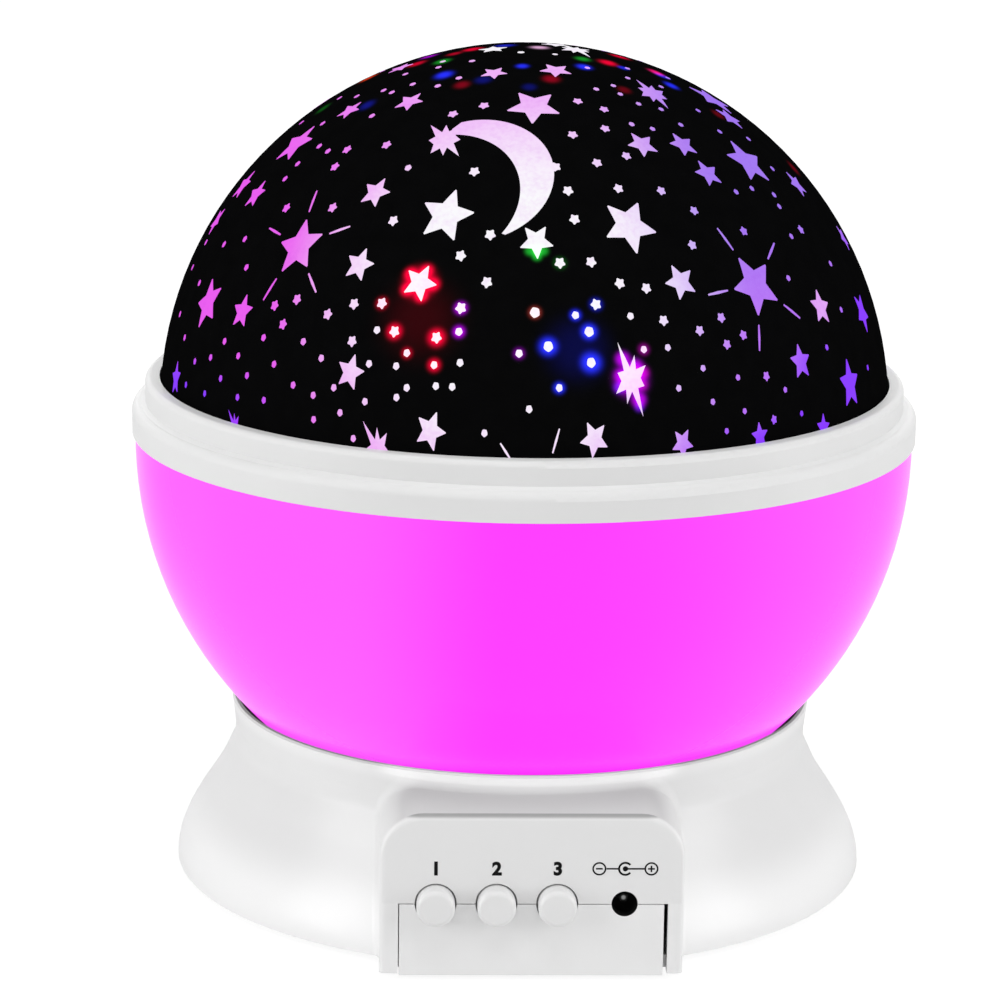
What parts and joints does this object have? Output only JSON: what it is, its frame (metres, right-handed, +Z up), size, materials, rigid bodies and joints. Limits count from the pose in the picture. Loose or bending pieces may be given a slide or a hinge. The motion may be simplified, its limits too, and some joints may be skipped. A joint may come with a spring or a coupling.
{
  "type": "star night light projector",
  "caption": "Ball-shaped night light: black star-windowed dome in a white ring on a translucent bowl that turns on a flared base with panel buttons and a power inlet.",
  "frame": {"origin": "on the bowl's turning axis, at the level of the surface the feet stand on", "axes": "+Z up along the turning axis; the panel with buttons and power inlet faces -Y; +X to the right seen from the front"},
  "size_m": [0.125, 0.125, 0.1332],
  "materials": {
    "white_plastic": "smooth glossy moulded plastic",
    "lamp_white": "satin white plastic that reflects the lamps",
    "bowl_plastic": "glossy translucent plastic, lit from inside",
    "dome_black": "glossy black with clear star windows",
    "foot_rubber": "matte rubber",
    "screw_steel": "zinc-plated steel",
    "contact_plating": "nickel-plated spring steel",
    "cell_sleeve": "printed steel can, plain",
    "motor_case": "drawn steel can",
    "gear_nylon": "natural nylon",
    "board_green": "solder-masked circuit board",
    "black_plastic": "moulded black plastic",
    "led_red": "tinted lamp body",
    "led_green": "tinted lamp body",
    "led_blue": "tinted lamp body",
    "led_white": "clear lamp body"
  },
  "bodies": {
    "base": {"base_shell": "white_plastic", "base_bottom": "white_plastic", "rubber_feet": "foot_rubber", "base_screws": "screw_steel", "battery_cells": "cell_sleeve", "battery_end_plates": "contact_plating", "battery_leaf_contacts": "contact_plating", "motor": "motor_case", "motor_screws": "screw_steel", "lamp_post": "lamp_white", "post_screws": "screw_steel", "post_clip": "screw_steel", "lamp_holder": "lamp_white", "lamp_board": "board_green", "lamp_screws": "screw_steel", "led_red": "led_red", "led_green": "led_green", "led_blue": "led_blue", "led_white": "led_white", "control_board": "board_green", "dc_socket": "black_plastic", "dc_pin": "contact_plating", "switch_a": "black_plastic", "switch_b": "black_plastic", "switch_c": "black_plastic"},
    "turntable": {"bowl": "bowl_plastic", "turning_gear": "gear_nylon", "gear_screws": "screw_steel"},
    "dome": {"star_dome": "dome_black", "dome_ring": "white_plastic"},
    "battery_door": {"battery_door": "white_plastic", "door_screw": "screw_steel"},
    "motor_output": {"motor_shaft": "screw_steel", "motor_pinion": "gear_nylon"},
    "button_a": {"button_a": "white_plastic", "plunger_a": "black_plastic"},
    "button_b": {"button_b": "white_plastic", "plunger_b": "black_plastic"},
    "button_c": {"button_c": "white_plastic", "plunger_c": "black_plastic"}
  },
  "joints": [
    {"name": "bowl_turn", "type": "hinge", "parent": "base", "child": "turntable", "pos_m": [0, 0, 0.0193], "axis": [0, 0, 1], "continuous": true},
    {"name": "dome_lift", "type": "slide", "parent": "turntable", "child": "dome", "axis": [0, 0, 1], "range_m": [0, 0.06]},
    {"name": "motor_turn", "type": "hinge", "parent": "base", "child": "motor_output", "pos_m": [-0.01611, -0.02388, 0.0193], "axis": [0, 0, 1], "continuous": true},
    {"name": "battery_door_lift", "type": "slide", "parent": "base", "child": "battery_door", "axis": [0, 0, -1], "range_m": [0, 0.02]},
    {"name": "button_a_press", "type": "slide", "parent": "base", "child": "button_a", "axis": [0, 1, 0], "range_m": [0, 0.0008], "stiffness_N_per_m": 500},
    {"name": "button_b_press", "type": "slide", "parent": "base", "child": "button_b", "axis": [0, 1, 0], "range_m": [0, 0.0008], "stiffness_N_per_m": 500},
    {"name": "button_c_press", "type": "slide", "parent": "base", "child": "button_c", "axis": [0, 1, 0], "range_m": [0, 0.0008], "stiffness_N_per_m": 500}
  ],
  "couplings": [
    {"joint": "motor_turn", "follows": "bowl_turn", "ratio": -5}
  ]
}
